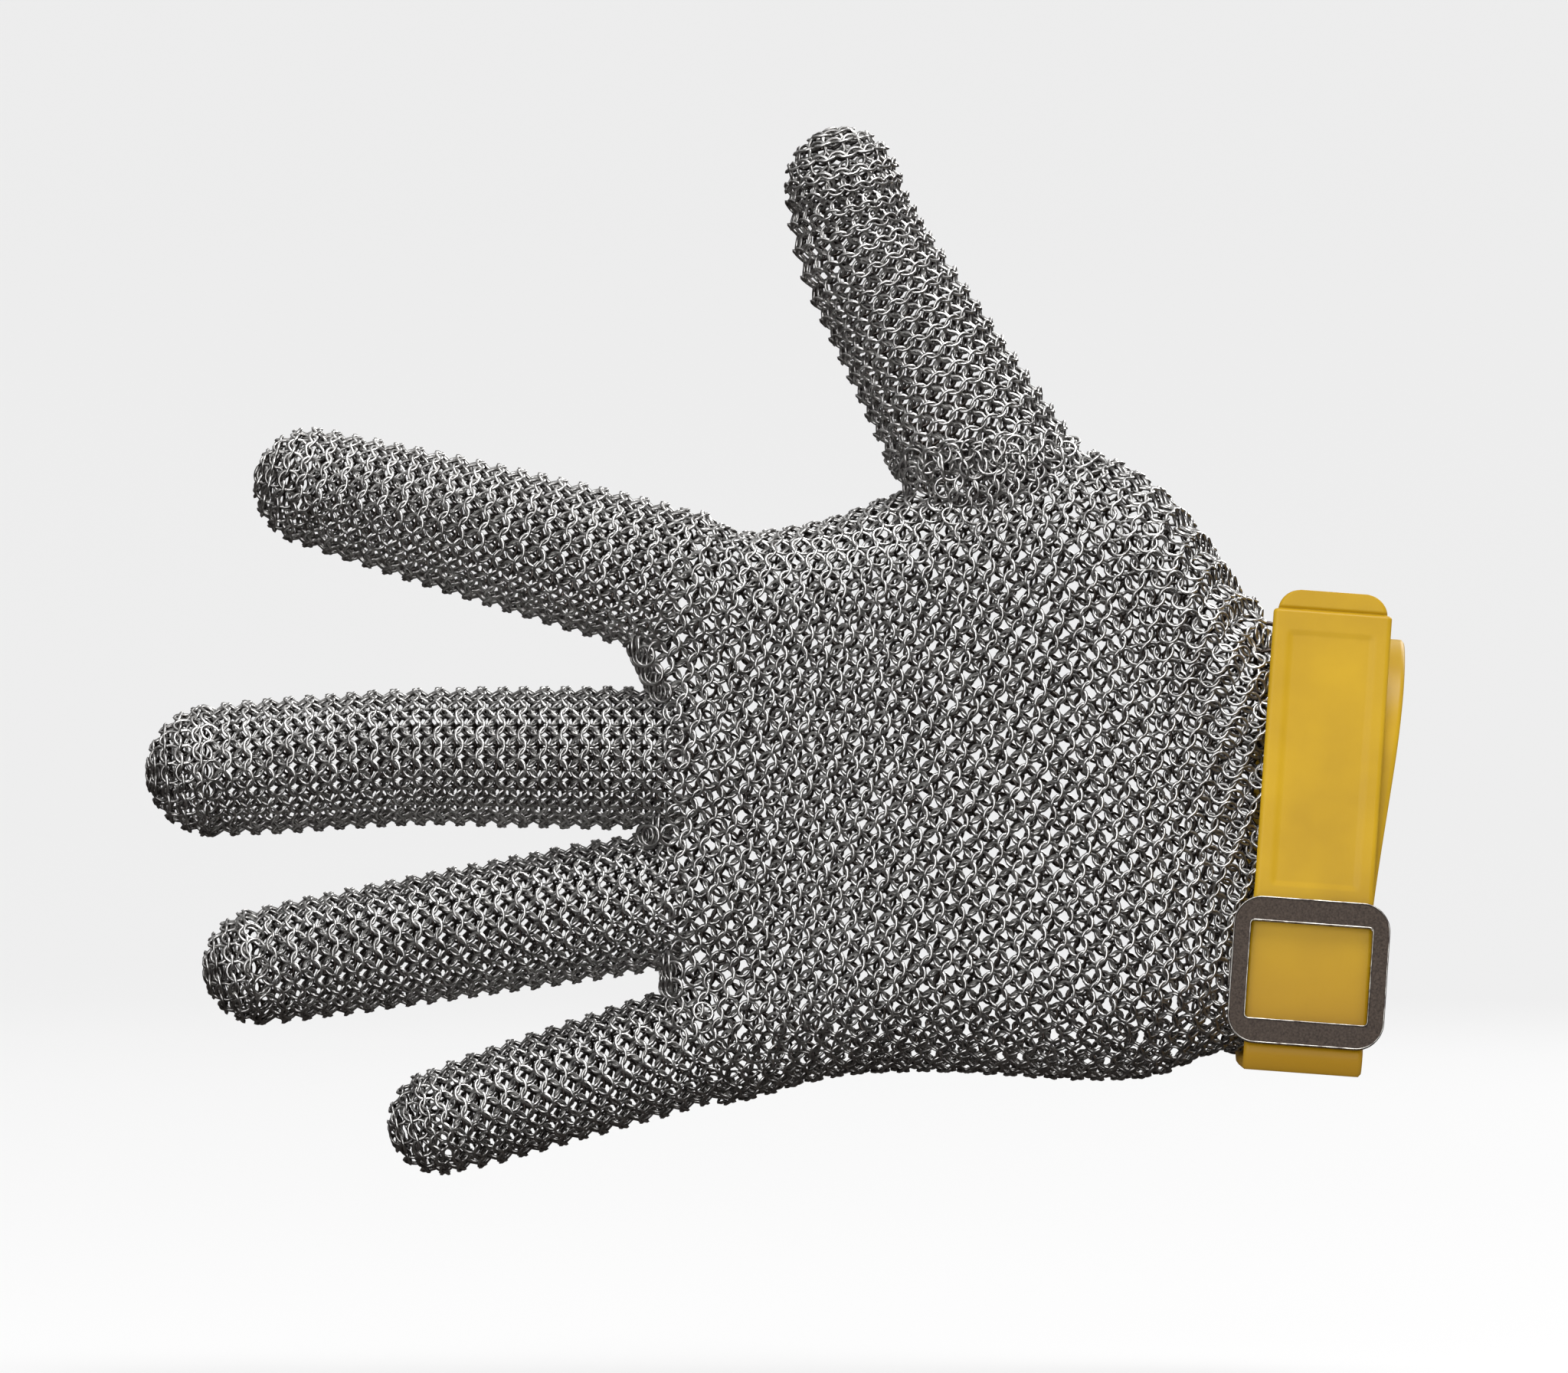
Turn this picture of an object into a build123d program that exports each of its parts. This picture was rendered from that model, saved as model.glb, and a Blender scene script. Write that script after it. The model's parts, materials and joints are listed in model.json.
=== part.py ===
from build123d import *
from math import acos, atan2, cos, degrees, hypot, radians, sin, tan
import os

# Cut resistant glove for a left hand: steel ring mesh with a moulded wrist strap and a steel slide buckle.
# Millimetres. The origin is the centre of the mesh's open end at the wrist. The fingers point along -X,
# the thumb side is up (+Z), the back of the hand faces -Y and the palm faces +Y.

# Ring mesh
MESH_WALL = 2.2            # a layer of leaning rings, 4 mm across
JOINT_GAP = 0.8            # slit between two sections on the back of a finger
NOTCH_MARGIN = 2.0         # degrees that a notch opens beyond the bend
SOCKET_DEPTH = 18.0        # how far a finger socket runs back into the hand
SLEEVE_END = 3.0           # how far a section's tube runs past its joint before it is trimmed

# Bend of each joint in degrees: the tip joint follows the middle joint
ROOT_BEND = 60.0
MIDDLE_BEND = 72.0
TIP_BEND = 48.0
THUMB_ROOT_BEND = 40.0
THUMB_TIP_BEND = 60.0

# Each digit: root joint (x, z), headings above -X in degrees, section lengths, and the outer radius at the
# root joint, at each later joint and at the start of the rounded tip
INDEX = {"root": (-138.0, 53.2), "headings": (14.8, 14.8, 14.8), "lengths": (26.0, 22.0, 19.7),
         "radii": (13.9, 12.9, 11.7, 11.0)}
MIDDLE = {"root": (-141.0, 17.9), "headings": (0.5, -4.0, -4.0), "lengths": (33.0, 27.0, 22.7),
          "radii": (13.3, 12.7, 12.6, 12.2)}
RING = {"root": (-140.0, -10.0), "headings": (-9.5, -9.5, -9.5), "lengths": (28.0, 25.0, 21.0),
        "radii": (12.9, 12.2, 11.4, 10.8)}
LITTLE = {"root": (-128.5, -36.5), "headings": (-17.0, -17.0, -17.0), "lengths": (17.5, 17.0, 18.0),
          "radii": (11.5, 11.0, 10.6, 9.8)}
THUMB = {"root": (-75.8, 83.2), "headings": (60.0, 76.7), "lengths": (34.0, 21.5),
         "radii": (15.2, 12.3, 10.8)}
THUMB_BASE_LENGTH = 40.0
THUMB_BASE_FLARE = 4.0     # the thumb base is this much wider at the hand than at the root joint

# Wrist strap
STRAP_WIDTH = 21.6
STRAP_THICKNESS = 2.0
STRAP_TILT = 4.2           # lean of the strap's plane towards the arm at its top
STRAP_EDGE = 1.4           # how far the strap passes the mesh's open end
CUFF_NECK = 5.8            # mesh that narrows from the hand body to the strap
STRAP_START = STRAP_EDGE - STRAP_WIDTH

# Hand body: stations from the wrist to the finger roots, as x, top z, bottom z, half thickness and
# lean in degrees (positive when the top leans towards the wrist)
HAND_STATIONS = [
    (STRAP_START - CUFF_NECK, 51.5, -36.5, 20.6, 3.0),
    (-36.0, 65.5, -40.6, 20.4, 1.5),
    (-48.0, 74.0, -41.6, 20.0, 0.0),
    (-62.0, 75.0, -41.0, 19.2, -1.5),
    (-77.0, 69.5, -40.2, 18.2, -3.0),
    (-92.0, 63.0, -40.2, 17.2, -4.0),
    (-109.0, 59.8, -42.8, 16.0, -5.2),
    (-125.0, 60.0, -46.5, 14.4, -6.4),
]

# The strap's path
WRIST_HALF_DEPTH = 22.0    # back to palm, to the strap's centreline
WRIST_STRAIGHT = 34.0      # straight side of the strap's loop
STRAP_CORNER = 2.2         # radius where the strap turns up to the buckle
STRAP_FIT = 0.3            # between the strap and what it lies on
LAYER_GAP = 0.45           # between the strap's free end and the band under it
LOOP_WRAP = 250.0          # degrees of the band's loop on the buckle's middle bar
BUCKLE_RISE = 16.4         # middle bar above the bottom of the strap's loop
TONGUE_REACH = 47.0        # top of the free end above the wrist's centre
TONGUE_CORNER = 5.0
TONGUE_TAB = 3.6           # length of the thinner tab at the tip
TONGUE_TAB_STEP = 0.5
TONGUE_LOWER_END = 12.6    # below the middle bar
PANEL_INSET = 3.2          # plain moulded panel on the free end
PANEL_DEPTH = 0.3
PANEL_LENGTH = 46.0
PANEL_TOP = 8.0            # from the tip

# Buckle
BUCKLE_WIDTH = 28.2
BUCKLE_HEIGHT = 26.5
BUCKLE_THICKNESS = 1.4
BUCKLE_CORNER = 5.0
WINDOW_HEIGHT = 18.0
WINDOW_CORNER = 0.8
BUCKLE_SIDE_GAP = 0.4
BAR_RADIUS = 1.5
BAR_CLEARANCE = 0.1
POST_HALF_HEIGHT = 2.2
BUCKLE_FIT = 0.3           # between the free end and the outer bars

# Link rings between the strap and the mesh
LINK_COUNT = 10
LINK_RADIUS = 2.4
LINK_WIRE = 0.8
LINK_HOLE = 1.8
LINK_FIRST = 0.32          # share of the band's length, from the buckle's loop
LINK_LAST = 0.80

STRAP_CENTRE = STRAP_EDGE - STRAP_WIDTH / 2
WRIST_DROP = WRIST_HALF_DEPTH + WRIST_STRAIGHT / 2
BUCKLE_DROP = WRIST_DROP - BUCKLE_RISE
FAR = 90.0                 # larger than any section

os.makedirs("parts", exist_ok=True)


def heading_vector(heading):
    """Unit vector in the hand's plane, an angle above -X."""
    return Vector(-cos(radians(heading)), 0, sin(radians(heading)))


def digit_frame(point, heading):
    """Local x runs out along the digit, y towards the palm, z along the hinge."""
    along = heading_vector(heading)
    return Plane(origin=point, x_dir=along, z_dir=along.cross(Vector(0, 1, 0)))


def half_notch(bend):
    return (bend + NOTCH_MARGIN) / 2


def keep_beyond(point, heading, bend):
    """Everything past a joint: a straight slit on the back, half of a V on the palm side."""
    slope = tan(radians(half_notch(bend)))
    gap = JOINT_GAP / 2
    outline = Polyline((gap, -FAR), (gap, 0), (gap + FAR * slope, FAR), (FAR * 3, FAR), (FAR * 3, -FAR),
                       (gap, -FAR))
    return digit_frame(point, heading) * extrude(make_face(outline), FAR, both=True)


def keep_before(point, heading, bend):
    """Everything short of a joint, the mirror image of keep_beyond."""
    slope = tan(radians(half_notch(bend)))
    gap = JOINT_GAP / 2
    outline = Polyline((-gap, -FAR), (-gap, 0), (-gap - FAR * slope, FAR), (-FAR * 3, FAR), (-FAR * 3, -FAR),
                       (-gap, -FAR))
    return digit_frame(point, heading) * extrude(make_face(outline), FAR, both=True)


def sleeve(length, start_radius, end_radius):
    """Open mesh tube along local x that runs a little past both of its joints."""
    low = -SLEEVE_END
    high = length + SLEEVE_END
    outline = Polyline((low, start_radius), (0, start_radius), (length, end_radius), (high, end_radius),
                       (high, end_radius - MESH_WALL), (length, end_radius - MESH_WALL),
                       (0, start_radius - MESH_WALL), (low, start_radius - MESH_WALL), (low, start_radius))
    return revolve(make_face(outline), Axis.X)


def rounded_core(length, start_radius, tip_radius):
    """Solid of revolution along local x with a round end at the length."""
    shoulder = length - tip_radius
    outline = (Polyline((length, 0), (-SLEEVE_END, 0), (-SLEEVE_END, start_radius), (0, start_radius),
                        (shoulder, tip_radius))
               + CenterArc((shoulder, 0), tip_radius, 90, -90))
    return revolve(make_face(outline.edges()), Axis.X)


def fingertip(length, start_radius, tip_radius):
    """Mesh tube along local x with a closed rounded end."""
    core = rounded_core(length - MESH_WALL, start_radius - MESH_WALL, tip_radius - MESH_WALL)
    return rounded_core(length, start_radius, tip_radius) - core


def joint_points(digit):
    """The joints of a digit, from the root joint outwards."""
    points = [Vector(digit["root"][0], 0, digit["root"][1])]
    for heading, length in zip(digit["headings"], digit["lengths"]):
        points.append(points[-1] + heading_vector(heading) * length)
    return points


def joint_headings(digit):
    """Each joint faces halfway between the sections it joins."""
    headings = digit["headings"]
    between = [(before + after) / 2 for before, after in zip(headings, headings[1:])]
    return [headings[0]] + between


def digit_sections(digit, bends):
    """The mesh sections of a finger or thumb, trimmed at their joints."""
    points = joint_points(digit)
    facing = joint_headings(digit)
    sections = []
    for i, length in enumerate(digit["lengths"]):
        last = i == len(digit["lengths"]) - 1
        shape = fingertip if last else sleeve
        tube = digit_frame(points[i], digit["headings"][i]) * shape(length, digit["radii"][i],
                                                                    digit["radii"][i + 1])
        section = tube & keep_beyond(points[i], facing[i], bends[i])
        if not last:
            section = section & keep_before(points[i + 1], facing[i + 1], bends[i + 1])
        sections.append(section)
    return sections


def socket(digit, wall):
    """Solid that a finger's mesh runs from, inside the hand body."""
    radius = digit["radii"][0] - wall
    reach = Cylinder(radius, SOCKET_DEPTH + wall, align=(Align.CENTER, Align.CENTER, Align.MAX))
    frame = digit_frame(Vector(digit["root"][0], 0, digit["root"][1]), digit["headings"][0])
    return frame * Rot(0, 90, 0) * Pos(0, 0, wall) * reach


def socket_trim(digit, bend):
    """The slit and the notch that a finger's root joint takes from the hand body."""
    radius = digit["radii"][0] + JOINT_GAP
    slope = tan(radians(half_notch(bend)))
    gap = JOINT_GAP / 2
    outline = Polyline((-gap, -radius), (-gap, 0), (-gap - radius * slope, radius), (radius, radius),
                       (radius, -radius), (-gap, -radius))
    frame = digit_frame(Vector(digit["root"][0], 0, digit["root"][1]), digit["headings"][0])
    return frame * extrude(make_face(outline), radius, both=True)


def hand_station(station, wall, shift=0.0):
    """One rounded cross-section of the hand body, drawn in by a wall."""
    x, top, bottom, half_thickness, lean = station
    across = Vector(sin(radians(lean)), 0, cos(radians(lean)))
    normal = Vector(cos(radians(lean)), 0, -sin(radians(lean)))
    plane = Plane(origin=Vector(x + shift, 0, (top + bottom) / 2), x_dir=across, z_dir=normal)
    return plane * SlotOverall(top - bottom - 2 * wall, 2 * (half_thickness - wall))


def hand_blank(wall, wrist_shift, front_shift):
    """The hand body as a solid, with its ends moved along X."""
    shifts = [wrist_shift] + [0.0] * (len(HAND_STATIONS) - 2) + [front_shift]
    return loft([hand_station(s, wall, d) for s, d in zip(HAND_STATIONS, shifts)])


def strap_frame():
    tilt = radians(STRAP_TILT)
    return Plane(origin=(0, 0, 0), x_dir=(cos(tilt), 0, -sin(tilt)), z_dir=(sin(tilt), 0, cos(tilt)))


def wrist_oval(inset, x):
    """Cross-section of the wrist inside the strap's centreline, in the strap's frame."""
    radius = WRIST_HALF_DEPTH - inset
    return Plane(origin=(x, 0, 0), x_dir=(0, 0, 1), z_dir=(1, 0, 0)) * SlotOverall(
        WRIST_STRAIGHT + 2 * radius, 2 * radius)


# Buckle and free end, in the strap's frame: the middle bar sits in the band's loop
LOOP_RADIUS = BAR_RADIUS + BAR_CLEARANCE + STRAP_THICKNESS / 2
BAR_Y = -WRIST_HALF_DEPTH - LOOP_RADIUS
TONGUE_INNER = LOOP_RADIUS + STRAP_THICKNESS / 2 + STRAP_FIT
TONGUE_MIDDLE = TONGUE_INNER + STRAP_THICKNESS / 2
BAR_FACE = TONGUE_INNER + STRAP_THICKNESS + BUCKLE_FIT
# The free end leans back until it just clears the band where that turns over the thumb side
RISE_TO_BEND = BUCKLE_DROP + WRIST_STRAIGHT / 2
BEND_DISTANCE = WRIST_HALF_DEPTH + STRAP_THICKNESS / 2 + LAYER_GAP - TONGUE_INNER
TONGUE_LEAN = degrees(acos(BEND_DISTANCE / hypot(BAR_Y, RISE_TO_BEND)) - atan2(RISE_TO_BEND, -BAR_Y))


def buckle_frame():
    """Local x across the strap, y up along the free end, z outwards, origin on the middle bar."""
    lean = radians(TONGUE_LEAN)
    outwards = (0, -cos(lean), sin(lean))
    return Plane(origin=(STRAP_CENTRE, BAR_Y, -BUCKLE_DROP), x_dir=(1, 0, 0), z_dir=outwards)


def corner_centre():
    """Centre of the bend that carries the strap from under the wrist up to the buckle."""
    lean = radians(TONGUE_LEAN)
    z = STRAP_CORNER - WRIST_DROP
    offset = TONGUE_MIDDLE - STRAP_CORNER
    along = (z + BUCKLE_DROP - offset * sin(lean)) / cos(lean)
    return BAR_Y + along * sin(lean) - offset * cos(lean), z


def band_path():
    """Centreline of the band in (y, z), from the end of its loop round the wrist to the buckle."""
    half = WRIST_STRAIGHT / 2
    depth = WRIST_HALF_DEPTH
    corner_y, corner_z = corner_centre()
    path = (CenterArc((BAR_Y, -BUCKLE_DROP), LOOP_RADIUS, 360 - LOOP_WRAP, LOOP_WRAP)
            + Line((-depth, -BUCKLE_DROP), (-depth, half))
            + CenterArc((0, half), depth, 180, -180)
            + Line((depth, half), (depth, -half))
            + CenterArc((0, -half), depth, 0, -90)
            + Line((0, -WRIST_DROP), (corner_y, -WRIST_DROP))
            + CenterArc((corner_y, corner_z), STRAP_CORNER, 270, -90 - TONGUE_LEAN))
    return path


def band_wire():
    return Plane(origin=(STRAP_CENTRE, 0, 0), x_dir=(0, 1, 0), z_dir=(1, 0, 0)) * Wire(band_path().edges())


def link_places():
    """Point on the band's centreline and direction along it, for each link ring."""
    wire = band_wire()
    places = []
    for i in range(LINK_COUNT):
        share = LINK_FIRST + (LINK_LAST - LINK_FIRST) * i / (LINK_COUNT - 1)
        places.append((wire.position_at(share), wire.tangent_at(share)))
    return places


def strap_edge_frame(point, along, inset):
    """Frame at the strap's hand-side edge: x towards the arm, z along the strap."""
    edge = Vector(STRAP_START + inset, point.Y, point.Z)
    return Plane(origin=edge, x_dir=(1, 0, 0), z_dir=along)


def make_band():
    wire = band_wire()
    section = Plane(origin=wire.position_at(0), x_dir=(1, 0, 0), z_dir=wire.tangent_at(0)) * Rectangle(
        STRAP_WIDTH, STRAP_THICKNESS)
    band = sweep(section, path=wire)
    for point, along in link_places():
        hole = Cylinder(LINK_HOLE / 2, 3 * STRAP_THICKNESS)
        band = band - strap_edge_frame(point, along, LINK_RADIUS) * Rot(90, 0, 0) * hole
    return band


def make_links():
    ring = Torus(LINK_RADIUS, LINK_WIRE / 2)
    return [strap_edge_frame(point, along, 0) * ring for point, along in link_places()]


def make_tongue():
    """Free end of the strap, drawn flat in the buckle's frame."""
    top = (TONGUE_REACH + BUCKLE_DROP) / cos(radians(TONGUE_LEAN))
    length = top + TONGUE_LOWER_END
    middle = (top - TONGUE_LOWER_END) / 2
    outline = Pos(0, middle) * Rectangle(STRAP_WIDTH, length)
    outline = fillet(outline.vertices().group_by(Axis.Y)[-1], TONGUE_CORNER)
    strip = Pos(0, 0, TONGUE_INNER) * extrude(outline, STRAP_THICKNESS)
    tab = Box(STRAP_WIDTH, TONGUE_TAB, TONGUE_TAB_STEP, align=(Align.CENTER, Align.MAX, Align.MIN))
    surface = TONGUE_INNER + STRAP_THICKNESS
    strip = strip - Pos(0, top, surface - TONGUE_TAB_STEP) * tab
    panel = RectangleRounded(STRAP_WIDTH - 2 * PANEL_INSET, PANEL_LENGTH, PANEL_INSET / 2)
    panel_middle = top - PANEL_TOP - PANEL_LENGTH / 2
    return strip - Pos(0, panel_middle, surface - PANEL_DEPTH) * extrude(panel, PANEL_DEPTH)


def make_buckle():
    """Flat frame with its middle bar set back on two short posts."""
    window_width = STRAP_WIDTH + 2 * BUCKLE_SIDE_GAP
    plate = RectangleRounded(BUCKLE_WIDTH, BUCKLE_HEIGHT, BUCKLE_CORNER) - RectangleRounded(
        window_width, WINDOW_HEIGHT, WINDOW_CORNER)
    frame = Pos(0, 0, BAR_FACE) * extrude(plate, BUCKLE_THICKNESS)
    post_width = (BUCKLE_WIDTH - window_width) / 2
    post = Box(post_width, 2 * POST_HALF_HEIGHT, BAR_FACE + BAR_RADIUS,
               align=(Align.CENTER, Align.CENTER, Align.MIN))
    for side in (-1, 1):
        frame = frame + Pos(side * (window_width + post_width) / 2, 0, -BAR_RADIUS) * post
    return frame + Rot(0, 90, 0) * Cylinder(BAR_RADIUS, window_width + post_width)


FINGERS = {"index": INDEX, "middle": MIDDLE, "ring": RING, "little": LITTLE}
FINGER_BENDS = (ROOT_BEND, MIDDLE_BEND, TIP_BEND)
THUMB_BENDS = (THUMB_ROOT_BEND, THUMB_TIP_BEND)
SECTION_NAMES = ("root", "middle", "tip")
nodes = {}

# Fingers and thumb
for name, digit in FINGERS.items():
    for section_name, section in zip(SECTION_NAMES, digit_sections(digit, FINGER_BENDS)):
        nodes[f"{name}_{section_name}_mesh"] = section
for section_name, section in zip(("root", "tip"), digit_sections(THUMB, THUMB_BENDS)):
    nodes[f"thumb_{section_name}_mesh"] = section

# Hand body, with a socket for each finger and a round opening for the thumb
hand_outside = hand_blank(0.0, 0.0, 0.0)
hand_inside = hand_blank(MESH_WALL, 1.0, MESH_WALL)
hand = hand_outside
for digit in FINGERS.values():
    hand = hand + socket(digit, 0.0)
hand = hand - hand_inside
for digit in FINGERS.values():
    hand = hand - socket(digit, MESH_WALL) - socket_trim(digit, ROOT_BEND)

# Thumb base: a short flared tube from the hand body to the thumb's root joint
thumb_root = Vector(THUMB["root"][0], 0, THUMB["root"][1])
thumb_frame = digit_frame(thumb_root, THUMB["headings"][0])
base_narrow = THUMB["radii"][0]
base_wide = base_narrow + THUMB_BASE_FLARE
base_outline = Polyline((-THUMB_BASE_LENGTH, base_wide), (0, base_narrow), (SLEEVE_END, base_narrow),
                        (SLEEVE_END, base_narrow - MESH_WALL), (0, base_narrow - MESH_WALL),
                        (-THUMB_BASE_LENGTH, base_wide - MESH_WALL), (-THUMB_BASE_LENGTH, base_wide))
base_tube = thumb_frame * revolve(make_face(base_outline), Axis.X)
thumb_base = (base_tube - hand_outside) & keep_before(thumb_root, THUMB["headings"][0], THUMB_ROOT_BEND)
core_start = -THUMB_BASE_LENGTH / 2
core_wide = base_wide - THUMB_BASE_FLARE / 2 - MESH_WALL
thumb_core = Polyline((core_start, 0), (SLEEVE_END, 0), (SLEEVE_END, base_narrow - MESH_WALL),
                      (0, base_narrow - MESH_WALL), (core_start, core_wide), (core_start, 0))
nodes["palm_mesh"] = hand - thumb_frame * revolve(make_face(thumb_core), Axis.X)
nodes["thumb_base_mesh"] = thumb_base

# Wrist end of the mesh: it narrows from the hand body into the strap
strap_plane = strap_frame()
cuff_inset = STRAP_THICKNESS / 2 + STRAP_FIT
outer_oval = strap_plane * wrist_oval(cuff_inset, STRAP_START)
inner_oval = strap_plane * wrist_oval(cuff_inset + MESH_WALL, STRAP_START)
neck = loft([hand_station(HAND_STATIONS[0], 0.0), outer_oval])
neck_core = loft([hand_station(HAND_STATIONS[0], MESH_WALL), inner_oval])
sleeve_end = strap_plane * extrude(wrist_oval(cuff_inset, STRAP_START), -STRAP_START)
sleeve_core = strap_plane * extrude(wrist_oval(cuff_inset + MESH_WALL, STRAP_START - 0.5), 1.0 - STRAP_START)
nodes["cuff_mesh"] = (neck + sleeve_end) - (neck_core + sleeve_core)

# Strap, buckle and link rings
buckle_plane = buckle_frame()
nodes["strap_band"] = strap_plane * make_band()
nodes["strap_tongue"] = strap_plane * (buckle_plane * make_tongue())
nodes["buckle"] = strap_plane * (buckle_plane * make_buckle())
nodes["strap_link_rings"] = Compound(children=[strap_plane * link for link in make_links()])

for name, shape in nodes.items():
    export_step(shape, f"parts/{name}.step")

# Hinges, slides and openings for whoever writes the motion
for name, digit in list(FINGERS.items()) + [("thumb", THUMB)]:
    for point, heading in zip(joint_points(digit), joint_headings(digit)):
        axis = digit_frame(point, heading).z_dir
        print(name, "joint", [round(v, 3) for v in point], "axis", [round(v, 5) for v in axis])
bar = strap_plane.location * buckle_plane.location
print("buckle", bar)
print("free end leans", round(TONGUE_LEAN, 3))
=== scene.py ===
import json
import math
import random

import bmesh
import bpy
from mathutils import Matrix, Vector
from mathutils.bvhtree import BVHTree
from mathutils.kdtree import KDTree


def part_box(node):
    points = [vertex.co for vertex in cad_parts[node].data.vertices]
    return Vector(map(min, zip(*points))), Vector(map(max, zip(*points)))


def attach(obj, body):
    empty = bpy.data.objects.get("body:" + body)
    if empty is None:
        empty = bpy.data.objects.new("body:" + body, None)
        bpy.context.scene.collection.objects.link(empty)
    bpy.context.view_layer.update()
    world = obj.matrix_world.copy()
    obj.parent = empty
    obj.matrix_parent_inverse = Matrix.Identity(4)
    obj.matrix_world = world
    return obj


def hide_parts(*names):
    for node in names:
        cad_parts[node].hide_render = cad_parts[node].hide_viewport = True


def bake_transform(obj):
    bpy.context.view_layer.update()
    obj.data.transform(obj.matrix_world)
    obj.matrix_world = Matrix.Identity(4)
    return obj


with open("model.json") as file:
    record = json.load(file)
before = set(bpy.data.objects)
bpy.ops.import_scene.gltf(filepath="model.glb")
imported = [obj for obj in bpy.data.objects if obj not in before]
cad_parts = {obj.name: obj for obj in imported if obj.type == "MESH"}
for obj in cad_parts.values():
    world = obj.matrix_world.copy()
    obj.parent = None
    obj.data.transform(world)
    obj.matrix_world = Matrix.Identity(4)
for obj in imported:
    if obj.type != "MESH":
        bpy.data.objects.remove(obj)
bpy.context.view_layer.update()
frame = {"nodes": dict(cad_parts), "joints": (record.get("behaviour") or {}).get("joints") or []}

# A cut resistant glove: a sheet of linked steel rings in the shape of a hand, closed at the wrist by a
# moulded strap with a steel slide buckle. Metres; the fingers point along -X, the thumb is up, the back
# of the hand faces -Y. Rings lie in courses round each tube, half a pitch apart, and every second
# row of rings leans the other way, as in mail where each ring holds four others.

MM = 0.001
random.seed(7)

# Ring sheet
RING_RADIUS = 1.85 * MM
WIRE_RADIUS = 0.33 * MM       # a little heavier than the real 0.5 mm wire, so that it shows
PITCH = 3.85 * MM             # along a row
HALF_PITCH = PITCH / 2
SHEET_DEPTH = 1.1 * MM        # from the CAD's outside to the middle of the sheet
RING_LEAN = math.radians(27)
RING_FACETS = 14
WIRE_FACETS = 4
RING_JITTER = math.radians(4)
HAND_ROWS = 120
HAND_SLANT = math.tan(math.radians(15))   # rows on the back run down towards the wrist
COLUMN_STEP = HALF_PITCH * math.cos(math.atan(HAND_SLANT))
FIRST_COLUMN, LAST_COLUMN = -40, 126
TURN_COLUMNS = 36             # the lattice moves on by these in one turn, even so that it closes
HAND_SHIFT = TURN_COLUMNS * COLUMN_STEP / HAND_ROWS
HAND_MIDDLE = -75 * MM        # where the slant leaves a row in its place
HAND_FRONT = -125 * MM        # where the hand body ends between the fingers
HAND_SPAN = range(-124, 3)    # where its section is measured, in millimetres, up to the wrist
SMOOTH_REACH = 3              # sections each way
TOP_LOWEST = 34 * MM          # a ray that lands below this has fallen in where the thumb opens
CUFF_START = -26 * MM
MESH_END = -1.6 * MM          # across the strap, from the same origin
KNUCKLE_START = -108 * MM
KNUCKLE_BACK = 12 * MM        # from a finger's root joint to its knuckle
CROTCH_DIP = 0.1              # the sheet dips between two knuckles
# The sheet bulges on the thumb side before it goes in under the strap
BULGE, BULGE_AT, BULGE_REACH = 3.2 * MM, -19.6 * MM, 1.9 * MM

# Thumb base: the seam where the thumb's own mesh starts, and the cone that it starts from
SEAM_BACK = 12 * MM
SEAM_SLOPE = 0.12
SEAM_COLUMNS, SEAM_BANDS = 26, 3
SEAM_PITCH = 1.75 * MM
SEAM_BAND_STEP = 1.5 * MM
THUMB_LOWEST = 50 * MM
# How squarely the sheet faces the back or the palm: less than this is its edge, or too steep for a ring
EDGE_ON, FACING, SEAM_FACING = 0.3, 0.2, 0.15
THUMB_BASE_RADIUS = 15.2 * MM
THUMB_BASE_FLARE = 0.1        # growth of the cone's radius towards the wrist

# Fingers and thumb
FINGERS = ("little", "ring", "middle", "index")
# Half of each number of rows is odd, so that the far side's rings lie behind the near side's gaps
DIGIT_ROWS = {"index": 38, "middle": 38, "ring": 34, "little": 30, "thumb": 42}
# How far behind its root joint a digit's own rings start, and a reach for the root joint's bend, which
# nothing uses
DIGIT_START = {"index": 11.5 * MM, "middle": 14.8 * MM, "ring": 13.8 * MM, "little": 9.5 * MM,
               "thumb": 19 * MM}
BEND_REACH = {"index": 9 * MM, "middle": 9 * MM, "ring": 9 * MM, "little": 8 * MM, "thumb": 9 * MM}
CLOSE_RINGS = 1.25 * MM       # a ring nearer than this to one of the hand's is left out
IN_HAND = (-0.3 * MM, SHEET_DEPTH + 0.8 * MM)     # depths where a finger's rings may start inside the hand
TURN_LENGTH = 12 * MM         # a digit's middle line turns at a joint over this length
OUTSIDE = 30 * MM             # from a digit's middle line to well outside its mesh
FINE_STEPS = 8
TIP_REACH = 11.5 * MM         # how far from its end a digit's radius is taken for the rounded end
TIP_PITCH = PITCH * 0.9
TIP_STEP = HALF_PITCH * 0.86

# Webs between the fingers
WEB_AHEAD = 1.5 * MM          # of where the fingers' own rings start
WEB_ROW = 2.0 * MM
WEB_HALF = 12.5 * MM          # towards the back and towards the palm
WEB_ROUND = 14 * MM
WEB_SWELL = 2.5 * MM
SPARE_END = -126.6 * MM       # spare rings stay on the wrist's side of this
SPARE_REACH = 6 * MM          # rings past the hand's edge, kept for the gaps beside the fingers
GAP = 2.05 * MM               # a spare ring at least this far from every other one is used
FRONT_SPARE = 14 * MM         # how far before the measured sections rings are tried

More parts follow.
